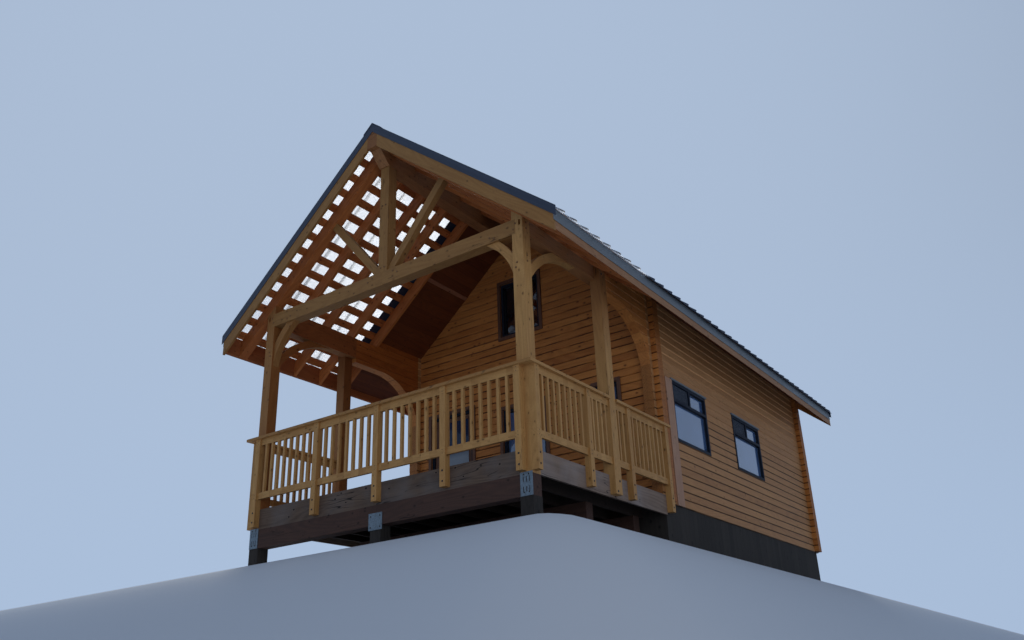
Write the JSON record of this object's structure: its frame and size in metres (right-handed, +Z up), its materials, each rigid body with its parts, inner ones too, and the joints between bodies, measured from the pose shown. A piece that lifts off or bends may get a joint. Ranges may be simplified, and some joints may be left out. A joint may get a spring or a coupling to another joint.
{
  "type": "squared-log cabin with a timber-framed covered deck",
  "caption": "Squared-log cabin, steep gable roof run forward over a timber-framed covered deck with a king-post truss, railings and curved braces.",
  "frame": {"origin": "middle of the footprint, on the ground", "axes": "+X right facing the front, +Y from the deck to the back wall, +Z up"},
  "size_m": [6.2948, 10.66, 6.3036],
  "materials": {
    "honey_pine": "satin",
    "fresh_timber": "satin",
    "treated_wood": "matte",
    "dark_timber": "matte",
    "brown_wood": "satin",
    "dark_frame": "satin",
    "slate_metal": "satin",
    "galvanised_steel": "matte",
    "steel": "satin",
    "window_glass": "gloss",
    "clear_sheet": "gloss"
  },
  "bodies": {
    "building": {"foundation": "dark_timber", "deck_piers": "dark_timber", "steel_brackets": "galvanised_steel", "deck_beams": "treated_wood", "deck_joists": "treated_wood", "deck_rim": "treated_wood", "deck_floor": "treated_wood", "cabin_floor": "honey_pine", "front_wall_left": "honey_pine", "front_wall_right": "honey_pine", "front_wall_upper": "honey_pine", "front_gable": "honey_pine", "right_wall": "honey_pine", "left_wall": "honey_pine", "back_wall": "honey_pine", "back_gable": "honey_pine", "log_arches": "honey_pine", "ceiling_deck": "honey_pine", "door_frame": "brown_wood", "front_window_frames": "dark_frame", "side_window_frames": "dark_frame", "window_glass": "window_glass", "window_trim": "brown_wood", "side_boards": "fresh_timber", "window_head_flashings": "galvanised_steel", "door_trim": "brown_wood", "corner_posts": "fresh_timber", "mid_posts": "fresh_timber", "side_plates": "honey_pine", "tie_beam": "fresh_timber", "king_post": "fresh_timber", "truss_struts": "fresh_timber", "principal_rafters": "fresh_timber", "ridge_beam": "honey_pine", "truss_braces": "fresh_timber", "plate_braces": "fresh_timber", "porch_rafters": "honey_pine", "porch_battens": "honey_pine", "rake_boards": "fresh_timber", "eave_boards": "fresh_timber", "roof_sheets": "slate_metal", "clear_sheets": "clear_sheet", "ridge_cap": "slate_metal", "rake_flashings": "slate_metal", "eave_flashings": "slate_metal", "front_railing": "fresh_timber", "right_railing": "fresh_timber", "left_railing": "fresh_timber", "rail_caps": "fresh_timber"},
    "door_leaf": {"door": "brown_wood", "door_handle": "steel"}
  },
  "joints": [
    {"name": "door_hinge", "type": "hinge", "parent": "building", "child": "door_leaf", "pos_m": [-1.935, -1.552, 1.9], "axis": [0, 0, 1], "range_deg": [0, 90]}
  ]
}
